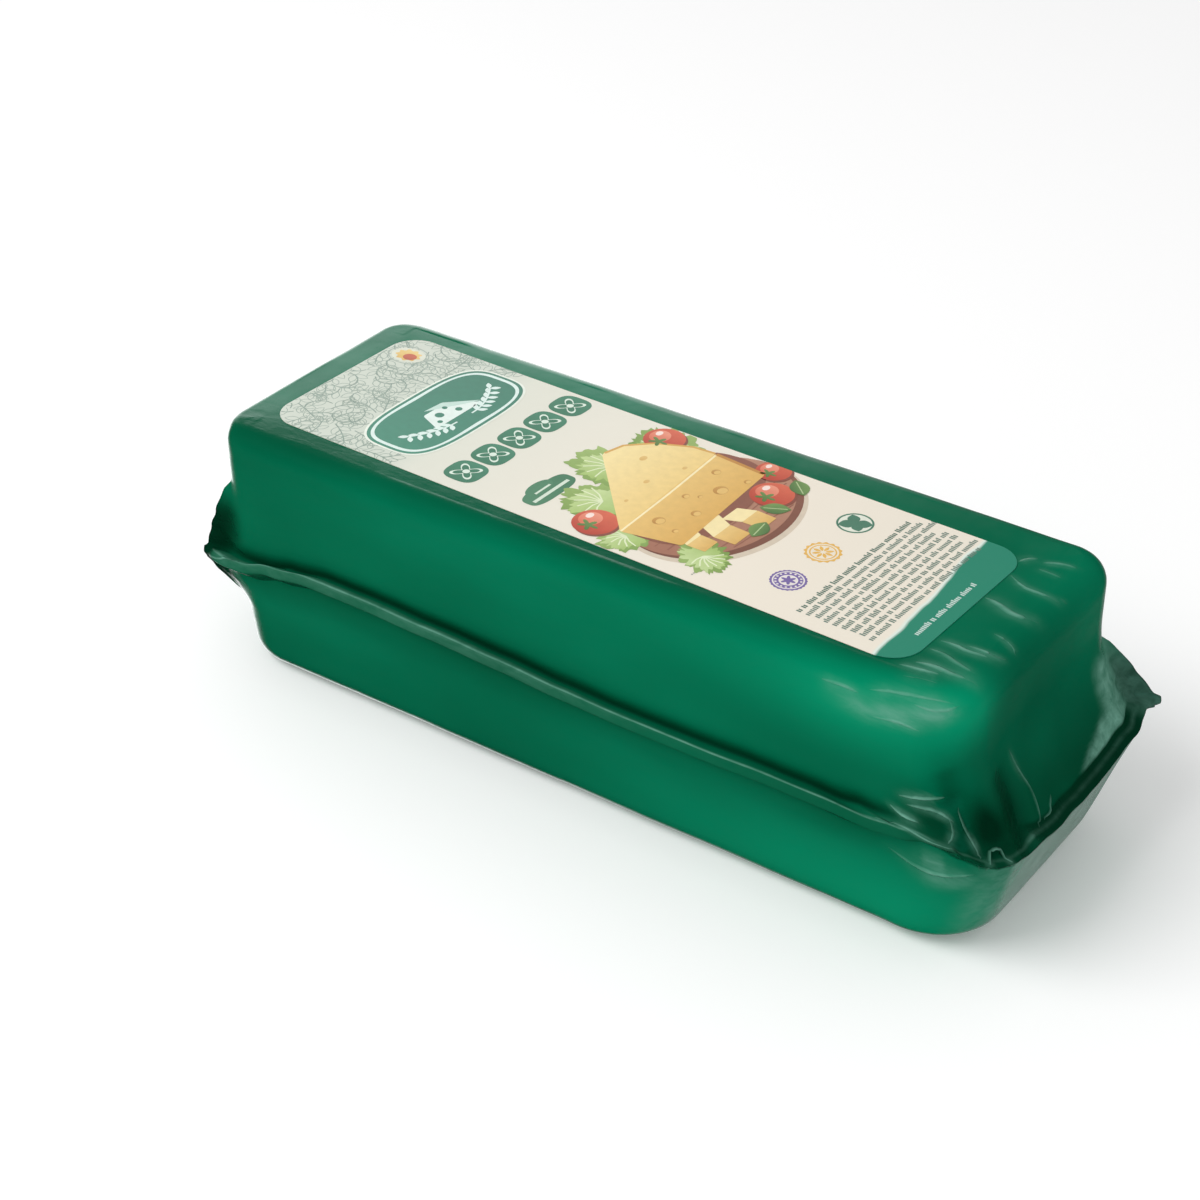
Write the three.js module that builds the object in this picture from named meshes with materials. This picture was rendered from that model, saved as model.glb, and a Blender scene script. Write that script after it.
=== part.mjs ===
// A gouda loaf in its green shrink film, with the oblong label that lies on its top.
// Millimetres. X runs along the loaf, Z is up, and the loaf stands on Z = 0.
import * as THREE from 'three';
import { mergeVertices } from 'three/addons/utils/BufferGeometryUtils.js';

const { lerp, smoothstep, clamp } = THREE.MathUtils;

// The loaf inside its film
const BASE_LENGTH = 303;
const TOP_LENGTH = 295;
const BASE_WIDTH = 96;
const TOP_WIDTH = 107;
const LOAF_HEIGHT = 98.4;
const BASE_CORNER = 25;            // radius of the upright corners at the base
const TOP_CORNER = 15;             // and at the top
const BASE_EDGE = 9;
const TOP_EDGE = 8;
const TOP_SINK = 0.6;              // how far the film's margin lies below the top's middle
const CREASE_DEPTH = 0.5;          // the lengthwise creases at the top's right end
const CREASE_PITCH = 10;
const CREASE_START = 124;
const CREASE_FULL = 138;

// The welded seam that runs round the loaf at half height
const SEAM_HEIGHT = 49;
const SEAM_RIGHT = 165;
const SEAM_LEFT = 160;
const SEAM_HALF_WIDTH = 57;
const SEAM_CORNER = 17;
const SEAM_THICKNESS = 1.4;
const SEAM_SAG_END = 2.5;          // the seam hangs lower round the ends
const SEAM_SAG_BACK = 1;           // and a little more at the far right corner
const SEAM_SAG_FROM = 95;
const SEAM_SAG_FULL = 155;
const SIDE_DROOP = 2.4;
const END_DROOP = 1.2;

// How the film sweeps out from the loaf to the seam: the share of the seam's overhang that it
// has at the weld, how far from the seam it leaves the loaf, and how it bows on the way
const UPPER_END_SWEEP = { weld: 0.5, reach: 26, bow: 2.2 };
const LEFT_END_SWEEP = { weld: 0.5, reach: 24, bow: 1.4 };
const RIGHT_END_SWEEP = { weld: 0.95, reach: 47, bow: 0.75 };
const SIDE_SWEEP = { weld: 0.15, reach: 5, bow: 1.6 };

// The three ears of spare film at the corners: how far each tip stands out of the loaf's corner
// and which way in plan, how high and low its ridge starts, and how full the ridge's bow is
const EARS = [
  { along: -1, across: -1, reach: 14, heading: [-0.94, -0.34], up: 27, down: 20, bow: 0.75 },
  { along: 1, across: 1, reach: 24, heading: [0.92, 0.39], up: 20, down: 9, bow: 0.55 },
  { along: -1, across: 1, reach: 16, heading: [-0.9, 0.44], up: 22, down: 16, bow: 0.7 },
];

const EAR_ROOT_SHARE = 0.92;       // where the two films meet at an ear's ridge
const EAR_SHARPNESS = 3;

// Upright gathers of the film round the ends: two waves along the seam
const GATHER_DEPTH = 1.6;
const GATHERS = [
  { pitch: 21, start: 0.6, share: 0.6 },
  { pitch: 37, start: 2.1, share: 0.4 },
];

// The label
const LABEL_LENGTH = 257;
const LABEL_WIDTH = 77;
const LABEL_CORNER = 11;
const LABEL_THICKNESS = 0.4;
const LABEL_CENTRE = new THREE.Vector2(-5, -2.5);
const LABEL_TURN = THREE.MathUtils.degToRad(-1.6);
const CLEARANCE = 0.3;

// Facets: cells along, across and up, and the share of them that goes round a corner
const CELLS_ALONG = 36;
const CELLS_ACROSS = 22;
const CORNER_SHARE_ALONG = 8 / CELLS_ALONG;
const CORNER_SHARE_ACROSS = 8 / CELLS_ACROSS;
const EDGE_STEPS = 4;
const WALL_STEPS = 6;

const filmGreen = new THREE.MeshStandardMaterial({ color: 0x006b4c, roughness: 0.22, metalness: 0 });
const labelPaper = new THREE.MeshStandardMaterial({ color: 0xe9e2d3, roughness: 0.35, metalness: 0 });

// The film's rings from the base up: height, inset of the rounded edges, and 1 for a ring on the
// seam's rim
function filmRings() {
  const rings = [];
  for (let i = 0; i <= EDGE_STEPS; i += 1) {
    const angle = (i / EDGE_STEPS) * (Math.PI / 2);
    const inset = BASE_EDGE * (1 - Math.sin(angle));
    rings.push({ height: BASE_EDGE * (1 - Math.cos(angle)), inset, rim: 0 });
  }
  const under = SEAM_HEIGHT - SEAM_THICKNESS / 2;
  const over = SEAM_HEIGHT + SEAM_THICKNESS / 2;
  for (let i = 1; i <= WALL_STEPS; i += 1) {
    const rise = 1 - (1 - i / WALL_STEPS) ** 1.6;
    rings.push({ height: lerp(BASE_EDGE, under, rise), inset: 0, rim: 0 });
  }
  rings.push({ height: under, inset: 0, rim: 1 });
  rings.push({ height: over, inset: 0, rim: 1 });
  const shoulder = LOAF_HEIGHT - TOP_EDGE;
  for (let i = 0; i <= WALL_STEPS; i += 1) {
    const rise = (i / WALL_STEPS) ** 1.6;
    rings.push({ height: lerp(over, shoulder, rise), inset: 0, rim: 0 });
  }
  for (let i = 1; i <= EDGE_STEPS; i += 1) {
    const angle = (i / EDGE_STEPS) * (Math.PI / 2);
    const inset = TOP_EDGE * (1 - Math.cos(angle));
    rings.push({ height: shoulder + TOP_EDGE * Math.sin(angle), inset, rim: 0 });
  }
  return rings;
}

// Closeness of a ring to the seam, 1 at the weld and 0 at the end of a sweep up or down from it
function closeness(ring, up, down) {
  const away = Math.abs(ring.height - SEAM_HEIGHT) - SEAM_THICKNESS / 2;
  return clamp(1 - away / (ring.height > SEAM_HEIGHT ? up : down), 0, 1);
}

function sweepShare(ring, sweep) {
  return ring.rim === 1 ? 1 : sweep.weld * closeness(ring, sweep.reach, sweep.reach) ** sweep.bow;
}

// Place along one axis of a point that lies at share -1 to 1 of a rounded rectangle's side
function spread(share, half, corner, cornerShare) {
  const straight = 1 - cornerShare;
  const distance = Math.abs(share) <= straight
    ? (Math.abs(share) / straight) * (half - corner)
    : half - corner + ((Math.abs(share) - straight) / cornerShare) * corner;
  return Math.sign(share) * distance;
}

// Point of a rounded rectangle for the shares along and across, inside it or on its outline
function roundedPoint(along, across, halfLength, halfWidth, corner) {
  const point = new THREE.Vector2(
    spread(along, halfLength, corner, CORNER_SHARE_ALONG),
    spread(across, halfWidth, corner, CORNER_SHARE_ACROSS),
  );
  const out = new THREE.Vector2(
    Math.abs(point.x) - (halfLength - corner),
    Math.abs(point.y) - (halfWidth - corner),
  );
  if (out.x > 0 && out.y > 0) {
    const pull = Math.max(out.x, out.y) / out.length() - 1;
    point.x += Math.sign(point.x) * out.x * pull;
    point.y += Math.sign(point.y) * out.y * pull;
  }
  return point;
}

function gather(place) {
  const wave = ({ pitch, start, share }) => share * Math.sin((place / pitch) * 2 * Math.PI + start);
  return GATHER_DEPTH * GATHERS.reduce((sum, each) => sum + wave(each), 0);
}

// The top sinks a little towards its edges, and the right end has creases that run lengthwise
function topRelief(x, y) {
  const fromEnd = TOP_LENGTH / 2 - Math.abs(x);
  const fromSide = TOP_WIDTH / 2 - Math.abs(y);
  const sink = TOP_SINK * (1 - smoothstep(Math.min(fromEnd, fromSide), 0, TOP_WIDTH / 4));
  const fade = smoothstep(x, CREASE_START, CREASE_FULL) * smoothstep(fromEnd, 0, TOP_EDGE);
  return CREASE_DEPTH * Math.sin((y / CREASE_PITCH) * 2 * Math.PI) * fade - sink;
}

// Point of the film for shares of its length and width, from -1 to 1, on one of its rings
function filmPoint(along, across, ring) {
  const right = along > 0;
  const lowerSweep = right ? RIGHT_END_SWEEP : LEFT_END_SWEEP;
  const alongShare = sweepShare(ring, ring.height > SEAM_HEIGHT ? UPPER_END_SWEEP : lowerSweep);
  const acrossShare = sweepShare(ring, SIDE_SWEEP);
  const rise = ring.height / LOAF_HEIGHT;
  const halfLength = lerp(BASE_LENGTH, TOP_LENGTH, rise) / 2;
  const halfWidth = lerp(BASE_WIDTH, TOP_WIDTH, Math.min(ring.height / SEAM_HEIGHT, 1)) / 2;
  const corner = lerp(BASE_CORNER, TOP_CORNER, rise);
  const point = roundedPoint(
    along,
    across,
    lerp(halfLength - ring.inset, right ? SEAM_RIGHT : SEAM_LEFT, alongShare),
    lerp(halfWidth - ring.inset, SEAM_HALF_WIDTH, acrossShare),
    lerp(corner - ring.inset, SEAM_CORNER, alongShare),
  );

  const cornerNearness = 1 - Math.min(1, Math.max(
    (1 - Math.abs(along)) / CORNER_SHARE_ALONG,
    (1 - Math.abs(across)) / CORNER_SHARE_ACROSS,
  ));
  const ear = EARS.find((e) => e.along === Math.sign(along) && e.across === Math.sign(across));
  if (ear) {
    const near = closeness(ring, ear.up, ear.down);
    const stand = ear.reach * (ring.rim === 1 ? 1 : EAR_ROOT_SHARE * near ** ear.bow);
    const cut = corner * (1 - Math.SQRT1_2);
    const ridge = new THREE.Vector2(
      ear.along * (halfLength - cut) + ear.heading[0] * stand,
      ear.across * (halfWidth - cut) + ear.heading[1] * stand,
    );
    point.lerp(ridge, cornerNearness ** EAR_SHARPNESS * smoothstep(near, 0, 0.15));
  }

  const endness = smoothstep(Math.abs(point.x), TOP_LENGTH / 2 - 30, TOP_LENGTH / 2 + 4);
  const nearSeam = closeness(ring, LOAF_HEIGHT - SEAM_HEIGHT, SEAM_HEIGHT) ** 2;
  const sag = SEAM_SAG_END * smoothstep(Math.abs(point.x), SEAM_SAG_FROM, SEAM_SAG_FULL)
    + SEAM_SAG_BACK * smoothstep(point.x, SEAM_SAG_FROM, SEAM_SAG_FULL) * smoothstep(point.y, -20, 50);
  const droop = ring.rim * lerp(SIDE_DROOP, END_DROOP, endness);
  const ripple = alongShare * endness * (1 - cornerNearness);
  point.x -= Math.sign(point.x) * Math.abs(gather(point.y)) * ripple;
  const wave = gather(point.y + SEAM_HALF_WIDTH) * ripple;
  const relief = topRelief(point.x, point.y) * smoothstep(ring.height, LOAF_HEIGHT - TOP_EDGE, LOAF_HEIGHT);
  return new THREE.Vector3(point.x, point.y, ring.height - sag * nearSeam - droop + wave + relief);
}

// The loaf and its film as one closed body: a box whose grid is drawn onto the film's rings
function wrappedLoaf() {
  const rings = filmRings();
  const top = rings.length - 1;
  const box = new THREE.BoxGeometry(2, 2, 2, CELLS_ALONG, CELLS_ACROSS, top);
  box.deleteAttribute('normal');
  box.deleteAttribute('uv');
  const film = mergeVertices(box);
  const position = film.attributes.position;
  for (let i = 0; i < position.count; i += 1) {
    const ring = rings[Math.round(((position.getZ(i) + 1) / 2) * top)];
    const point = filmPoint(position.getX(i), position.getY(i), ring);
    position.setXYZ(i, point.x, point.y, point.z);
  }
  film.computeVertexNormals();
  const loaf = new THREE.Mesh(film, filmGreen);
  loaf.name = 'wrapped_loaf';
  return loaf;
}

function roundedOblong(length, width, corner) {
  const shape = new THREE.Shape();
  const x = length / 2;
  const y = width / 2;
  shape.moveTo(-x + corner, -y);
  shape.absarc(x - corner, -y + corner, corner, -Math.PI / 2, 0, false);
  shape.absarc(x - corner, y - corner, corner, 0, Math.PI / 2, false);
  shape.absarc(-x + corner, y - corner, corner, Math.PI / 2, Math.PI, false);
  shape.absarc(-x + corner, -y + corner, corner, Math.PI, Math.PI * 1.5, false);
  return shape;
}

// The label, a thin sheet just above the film
function topLabel() {
  const outline = roundedOblong(LABEL_LENGTH, LABEL_WIDTH, LABEL_CORNER);
  const sheet = new THREE.ExtrudeGeometry(outline, {
    depth: LABEL_THICKNESS,
    bevelEnabled: false,
    curveSegments: 10,
  });
  const label = new THREE.Mesh(sheet, labelPaper);
  label.name = 'top_label';
  label.position.set(LABEL_CENTRE.x, LABEL_CENTRE.y, LOAF_HEIGHT + CLEARANCE);
  label.rotation.z = LABEL_TURN;
  return label;
}

const group = new THREE.Group();
group.add(wrappedLoaf(), topLabel());
const span = new THREE.Box3().setFromObject(group);
group.position.x = -span.getCenter(new THREE.Vector3()).x;   // the ears' tips lie evenly about X = 0

export default group;
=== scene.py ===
import itertools
import random
from math import atan2, copysign, cos, exp, hypot, pi, radians, sin, sqrt, tanh

import bmesh
import bpy
from mathutils import Matrix, Vector, noise
from mathutils.bvhtree import BVHTree


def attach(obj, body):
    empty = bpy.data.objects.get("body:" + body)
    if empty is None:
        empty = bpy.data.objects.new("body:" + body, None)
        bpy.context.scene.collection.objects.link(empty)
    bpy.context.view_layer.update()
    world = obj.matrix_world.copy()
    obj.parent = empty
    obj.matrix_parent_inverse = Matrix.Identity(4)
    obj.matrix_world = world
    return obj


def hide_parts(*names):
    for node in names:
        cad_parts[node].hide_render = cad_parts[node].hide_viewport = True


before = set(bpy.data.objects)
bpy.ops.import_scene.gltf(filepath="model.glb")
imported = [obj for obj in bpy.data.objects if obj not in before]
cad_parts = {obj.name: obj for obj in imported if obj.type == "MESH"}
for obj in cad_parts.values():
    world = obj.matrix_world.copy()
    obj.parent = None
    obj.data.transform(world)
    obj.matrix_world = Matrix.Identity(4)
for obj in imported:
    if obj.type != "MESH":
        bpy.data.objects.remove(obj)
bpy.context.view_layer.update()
scene = bpy.context.scene
MM = 0.001


# ------------------------ the loaf in its shrink film
# A block of gouda, cast in a mould that is wider at the top, in two webs of green barrier film.
# The webs are shrunk on hot and welded round half height, and their spare film stands out there.

BASE_LENGTH, TOP_LENGTH = 303, 295
BASE_WIDTH, TOP_WIDTH = 96, 107
LOAF_HEIGHT = 98.58
BASE_CORNER, TOP_CORNER = 25, 15  # radii of the upright corners
BASE_EDGE, TOP_EDGE = 9, 8
LEFT_EDGE_SHARE = 0.5  # the left end's edges are drawn in half as far
TOP_SINK, SINK_WIDTH = 0.4, 16  # the top's margin lies a little lower than under the label
LOAF_MIDDLE = -2.965  # the ears' tips lie evenly about x = 0, the loaf doesn't

SEAM_HEIGHT = 49  # of the weld, before it sags
WELD_GAP = 1.4
SEAM_RIGHT, SEAM_LEFT, SEAM_HALF_WIDTH = 165, 160, 56.7
SEAM_CORNER = 17

# How the film leaves the loaf for the weld's edge: share of the way that it has gone at the weld,
# height over which it does so, and how sharply it bends. By upper or lower web, right or left end
END_SWEEPS = {
    (True, True): (0.68, 30, 2.2),
    (True, False): (0.5, 26, 2.2),
    (False, True): (0.93, 47, 0.75),
    (False, False): (0.5, 24, 1.4),
}
SIDE_SWEEPS = {True: (0.1, 6, 1.6), False: (0.45, 14, 1.5)}
APRON_SWEEP = (0.78, 24, 1.6)  # of the upper web at the drawn-in near right corner
APRON_X, APRON_Y = (128, 150), (-38, -22)
EAR_FULLNESS = 0.92  # of its stand is reached by the film, the rest by the fin

CELLS_CORNER = 20  # of the film's mesh, over a rounded corner
CELLS_ALONG, CELLS_ACROSS = 2 * (CELLS_CORNER + 70), 2 * (CELLS_CORNER + 38)


def lerp(a, b, share):
    return a + (b - a) * share


def clamp(value, low=0.0, high=1.0):
    return max(low, min(high, value))


def sign(value):
    return copysign(1, value)


def ease(value, low, high):
    """A smooth step from 0 at one value to 1 at another."""
    t = clamp((value - low) / (high - low))
    return t * t * (3 - 2 * t)


def hump(value, width):
    """A soft bump of height 1 round 0."""
    return exp(-(value / width) ** 2)


# The weld's outer edge walked round the loaf: places in plan and its height there
SEAM_EDGE = [
    (-165, -57, 43), (-138, -57, 44), (-124, -57, 47.4), (-106, -57, 49.7), (-86, -57, 49.6),
    (-53, -57, 48.6), (-22, -57, 47.4), (5, -57, 46), (30, -57, 45.2), (62, -57, 45.2),
    (86, -57, 45.8), (108, -57, 45.6), (122, -57, 45), (133, -57, 46.2), (143, -57, 48.8),
    (151, -57, 49), (155, -55.5, 47.2), (160, -52, 45), (163, -48, 44), (165, -42, 43),
    (165, -34, 41.2), (165, -14, 38.8), (165, 3, 38.4), (165, 16, 39), (165, 28, 40.2),
    (165, 38, 42), (165, 57, 45), (130, 57, 46.4), (80, 57, 45.2), (20, 57, 47.2),
    (-40, 57, 46), (-100, 57, 47.6), (-140, 57, 46.4), (-160, 57, 45), (-160, 30, 43.4),
    (-160, 0, 42), (-160, -30, 43.2),
]


def bearing(x, y):
    return atan2(y / SEAM_HALF_WIDTH, x / SEAM_RIGHT)


# three laps, so that every bearing has a point on both sides
SEAM_TURNS = sorted((bearing(x, y) + lap * 2 * pi, z) for x, y, z in SEAM_EDGE for lap in (-1, 0, 1))


def seam_edge_height(x, y):
    """Height of the weld's outer edge beside a place in plan."""
    turn = bearing(x, y)
    for (a, low), (b, high) in zip(SEAM_TURNS, SEAM_TURNS[1:]):
        if turn <= b:
            return lerp(low, high, ease(turn, a, b))


# The fin of welded film in section, from its root below to its root above: share of its width,
# and height over its outer edge. Along the sides it is folded down, round the ends it lies flat
SIDE_FIN = [(0, -1.5), (.45, -1.1), (.8, -.6), (.96, -.25), (1, 0), (.96, 1.2), (.91, 2.3),
            (.87, 3.2), (.9, 3.75), (.62, 3.8), (.1, 3.7)]
END_FIN = [(0, -1.2), (.3, -.9), (.62, -.6), (.9, -.3), (1, -.05), (1, .15), (.9, .4),
           (.68, .7), (.45, 1.1), (.22, 1.6), (0, 2.2)]
FIN_SHEEN = [0, 0, .05, .1, .15, .2, .22, .35, 1, .3, 0]  # how much painted sheen each step of the fin gets
FOLD_STEP = 8  # of the fin's upper fold


BASE_RINGS, LOWER_RINGS, UPPER_RINGS, TOP_RINGS = 6, 24, 32, 8
CROWDING = 1.4  # rings lie closer towards the weld


def film_rings():
    """From the base up: height, inset of the rounded edges, tilt of the surface, step of the fin."""
    rings = []
    for i in range(BASE_RINGS + 1):
        turn = i / BASE_RINGS * pi / 2
        rings.append((BASE_EDGE * (1 - cos(turn)), BASE_EDGE * (1 - sin(turn)), turn - pi / 2, None))
    under, over = SEAM_HEIGHT - WELD_GAP / 2, SEAM_HEIGHT + WELD_GAP / 2
    for i in range(1, LOWER_RINGS + 1):
        rings.append((lerp(BASE_EDGE, under, 1 - (1 - i / LOWER_RINGS) ** CROWDING), 0, 0, None))
    for step in range(len(SIDE_FIN)):
        rings.append((lerp(under, over, step / (len(SIDE_FIN) - 1)), 0, 0, step))
    shoulder = LOAF_HEIGHT - TOP_EDGE
    for i in range(1, UPPER_RINGS + 1):
        rings.append((lerp(over, shoulder, (i / UPPER_RINGS) ** CROWDING), 0, 0, None))
    for i in range(1, TOP_RINGS + 1):
        turn = i / TOP_RINGS * pi / 2
        rings.append((shoulder + TOP_EDGE * sin(turn), TOP_EDGE * (1 - cos(turn)), turn, None))
    return rings


RINGS = film_rings()


def closeness(height, up, down):
    """1 at the weld, and 0 at the end of a sweep of the film up or down from it."""
    away = abs(height - SEAM_HEIGHT) - WELD_GAP / 2
    return clamp(1 - away / (up if height > SEAM_HEIGHT else down))


def spread(share, half, corner, corner_share):
    """Place along one axis for a share of a rounded side: cells lie closer towards its corners."""
    straight = 1 - corner_share
    if abs(share) <= straight:
        t = abs(share) / straight
        distance = (half - corner) * lerp(t, 1 - (1 - t) ** 2, 0.5)
    else:
        distance = half - corner + (abs(share) - straight) / corner_share * corner
    return copysign(distance, share)


def rounded_point(along, across, half_length, half_width, corner):
    """Point inside or on a rounded rectangle, and the way out of it there."""
    x = spread(along, half_length, corner, 2 * CELLS_CORNER / CELLS_ALONG)
    y = spread(across, half_width, corner, 2 * CELLS_CORNER / CELLS_ACROSS)
    over_x, over_y = abs(x) - (half_length - corner), abs(y) - (half_width - corner)
    if over_x > 0 and over_y > 0:
        pull = max(over_x, over_y) / hypot(over_x, over_y) - 1
        x += sign(x) * over_x * pull
        y += sign(y) * over_y * pull
        way = Vector((copysign(over_x, x), copysign(over_y, y))).normalized()
    elif 1 - abs(along) < 1e-6:
        way = Vector((sign(x), 0))
    elif 1 - abs(across) < 1e-6:
        way = Vector((0, sign(y)))
    else:
        way = Vector((0, 0))
    return Vector((x, y)), way


def soft_limit(value, low, high, room=0.7):
    """Keeps a value inside two limits, bending towards each over the last stretch before it."""
    if value > high - room:
        return high - room + room * tanh((value - high + room) / room)
    if value < low + room:
        return low + room - room * tanh((low + room - value) / room)
    return value


# Ears of spare film at three corners, by side in x and y: how far each stands out and which way,
# how far up and down its ridge reaches, and how the ridge's bow falls off
EARS = {
    (-1, -1): (14, (-0.94, -0.34), 27, 20, 0.75),
    (1, 1): (24, (0.92, 0.39), 20, 9, 0.85),
    (-1, 1): (16, (-0.9, 0.44), 22, 16, 0.7),
}

# Folds of the film: the line each runs along, the half width and height of its crest, and how pale
# its painted highlight makes it there. The ones that sink in, with a negative height, are soft and
# darker with painted shade. Points given without a height lie on the top
FOLDS = [
    # gathered creases on the top, from the label's end to the loaf's
    ([(123, 27.7), (125, 30.6), (127.2, 33)], 1.2, 0.2, 0.3),
    ([(129.7, 31.5), (135, 34.1), (139.8, 35)], 0.8, 0.4, 0.8),
    ([(130.4, 27.3), (134.3, 27.2), (138.2, 27)], 0.8, 0.25, 0.4),
    ([(124.5, 19.2), (131.4, 15.2), (137.1, 14.9), (144.6, 15)], 0.9, 0.4, 0.6),
    ([(142.9, 17.6), (146.7, 17.5)], 0.6, 0.3, 0.5),
    ([(124.5, 2.8), (128.1, 2.3), (134.5, 0), (139.3, -0.1), (144.1, 1.7)], 1.5, 0.4, 0.6),
    ([(136, -13.2), (140.2, -14.2), (144.1, -15.4), (146.9, -16.7)], 0.8, 0.4, 0.5),
    ([(124.5, -26), (130.2, -25.9), (134.2, -26.3), (143.1, -24.9)], 1.1, 0.4, 0.7),
    ([(132.7, -23.8), (137.4, -23.6), (141.8, -23.2), (145.9, -20.7)], 0.8, 0.4, 0.6),
    ([(124, -31.7), (129.6, -32.2), (134.5, -33.9), (141.6, -35.3)], 1.1, 0.4, 0.5),
    ([(120.5, -44), (125.4, -43.4), (130, -42.6), (133, -42)], 0.9, 0.4, 0.6),
    ([(124, -40.4), (130.2, -39.3), (136.1, -39.8), (145.3, -38.4)], 1.3, 0.4, 0.7),
    ([(124, -47.6, 97), (130.6, -46.2, 97), (134.7, -45.8, 97)], 1.0, 0.3, 0.5),
    # a soft swell with a painted dull sheen on the near shoulder, and the crease over it
    ([(104, -54, 87), (116, -54, 86), (130, -53, 89), (141, -52, 93), (149, -50, 97)], 3.4, 0.15, 0.6),
    ([(100, -53.5, 90.5), (107, -53.3, 91), (113, -53.2, 90.5)], 0.9, 0.3, 0.5),
    ([(118, -53.5, 84), (127, -53.5, 85.5), (134, -53.3, 85)], 0.8, 0.25, 0.4),
    ([(131, -52.5, 93.2), (139, -51.5, 93.5), (147, -50, 97.2)], 0.8, 0.3, 0.5),
    ([(116, -53, 92.7), (124.9, -52.5, 95), (133.2, -51.8, 96.2), (144, -50.3, 97.6)], 1.0, 0.35, 0.5),
    # pleats and tucks with painted highlights, and hollows with painted shade, at the near right corner
    ([(150, -53.3, 63), (151.5, -52.3, 57), (153.2, -51.3, 52), (156, -50, 43)], 0.7, 0.9, 0.7),
    ([(150.5, -24, 68), (151, -22, 61), (153, -18, 50), (156, -18.5, 42), (160, -22, 38)], 0.7, 0.7, 0.5),
    ([(155, -9, 43), (157, -13, 40.5), (159, -17, 38)], 0.6, 0.7, 0.6),
    ([(159, -52, 42), (160, -50, 49), (161, -48, 50.3), (162, -46, 48.5), (164, -44, 41)], 0.7, 0.9, 1.0),
    ([(129, -54, 60), (138, -54, 62.5), (145, -53.5, 64.5)], 0.8, 0.5, 0.7),
    ([(132, -54, 58), (141, -54, 59.5), (148, -53, 57)], 0.8, 0.5, 0.7),
    ([(146, -54, 60), (148, -54, 54), (147, -55, 50)], 0.7, 0.4, 0.4),
    ([(126, -54, 55), (131, -54, 53.5), (137, -55, 53.5)], 0.8, 0.6, 0.8),
    ([(122, -56, 49.8), (132, -56, 50.6), (142, -56.5, 49.5), (151, -56, 49.8)], 0.5, 0.4, 0.6),
    ([(126, -55, 37.5), (134, -55, 36), (141, -55, 35.5), (149, -54, 37.5), (155, -50, 41)],
     1.2, 0.6, 0.5),
    ([(143, -53, 74), (146, -53, 67), (148, -53, 61)], 5.0, -1.0, -0.7),
    ([(153, -47, 66), (155, -45, 57), (157, -44, 48)], 4.0, -0.8, -0.5),
    ([(151, -33, 66), (153, -31, 58), (158, -29, 46)], 5.0, -0.7, -0.4),
    # soft bands of painted sheen below the weld
    ([(138, -55, 40.5), (147, -54.5, 41)], 3.2, 0.2, 0.5),
    ([(137, -54.5, 32), (147, -53, 34), (155, -49, 38), (161, -42, 38)], 3.2, 0.1, 0.4),
    # the weld's edge running out into the ear at the near left corner
    ([(-136, -56, 50), (-146, -57, 46), (-154, -56, 45)], 0.6, 0.4, 0.6),
]
CREASED_TOP = 98
SOFT_FOLD = 3.0  # from this half width on a fold has no crest of its own
SKIRT_WIDTH, SKIRT_HEIGHT = 1.9, 0.5  # of the film's swell under a crest, as shares of the crest's
FOLD_ROOM = 5  # a fold is felt this many half widths away, and 3 mm more


def on_line(line, share):
    """A point part of the way along a smooth curve through the points of a line."""
    place = clamp(share, 0, 0.9999) * (len(line) - 1)
    i, t = int(place), place % 1
    a, b, c, d = line[max(i - 1, 0)], line[i], line[i + 1], line[min(i + 2, len(line) - 1)]
    return (2 * b + (c - a) * t + (2 * a - 5 * b + 4 * c - d) * t ** 2
            + (3 * b - a - 3 * c + d) * t ** 3) / 2


def fold_reach(line, width):
    room = FOLD_ROOM * width + 3
    return [(min(span) - room, max(span) + room) for span in zip(*line)]


FOLDS = [([Vector((*point, CREASED_TOP)[:3]) for point in line], width, stand, pale)
         for line, width, stand, pale in FOLDS]
FOLDS = [(line, width, stand, pale, fold_reach(line, width)) for line, width, stand, pale in FOLDS]


def fold_relief(place):
    """How far the folds swell or sink the film at a place, and how pale their painted highlights make
    it there (painted shade where below zero).
    """
    total = paleness = 0
    for line, width, stand, pale, reach in FOLDS:
        if all(low < value < high for value, (low, high) in zip(place, reach)):
            nearest, runs = 1e9, 1
            for i, (a, b) in enumerate(zip(line, line[1:])):
                along = b - a
                t = (place - a).dot(along) / along.length_squared
                away = (place - (a + along * clamp(t))).length
                if away < nearest:
                    nearest = away
                    runs = (i + clamp(t)) / (len(line) - 1)
            share = ease(min(runs, 1 - runs), -0.1, 0.25)
            if width >= SOFT_FOLD or stand < 0:
                share *= hump(nearest, width)
            else:
                share *= hump(nearest, width * SKIRT_WIDTH) * SKIRT_HEIGHT
            total += stand * share
            paleness += pale * share
    return total, paleness


LIMITS_X, LIMITS_Y, LIMITS_Z = (-159.7, 165.6), (-56.9, 56.9), (0, 99.05)


def within_limits(place):
    """Keeps a place of the film inside the space that the part has."""
    return Vector((soft_limit(place.x, *LIMITS_X), soft_limit(place.y, *LIMITS_Y),
                   clamp(place.z, *LIMITS_Z)))


def sweep(height, weld, reach, bow):
    """Share of the way out to the weld's edge that the film has gone at a height."""
    return weld * closeness(height, reach, reach) ** bow


def painted_glow(place):
    """Painted light on the film: pools at the shoulder and corners, the right half and below the weld."""
    on_side = ease(-place.y, 42, 52)
    near_shoulder = 0.5 * hump(place.x - 113, 27) * hump(place.z - 87, 14) * on_side
    near_corner = 1.2 * hump((place - Vector((151, -45, 94))).length, 13)
    far_corner = 0.35 * hump((place - Vector((148, 34, 92))).length, 24)
    right_half = 0.3 * ease(place.x, -60, 80) * ease(place.z, 58, 88) * on_side
    below_weld = ease(place.x, -20, 140) * ease(-place.z, -44, -12)
    below_weld *= 0.62 * ease(-place.y, 30, 44)
    return clamp(near_shoulder + near_corner + far_corner + right_half + below_weld)


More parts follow.
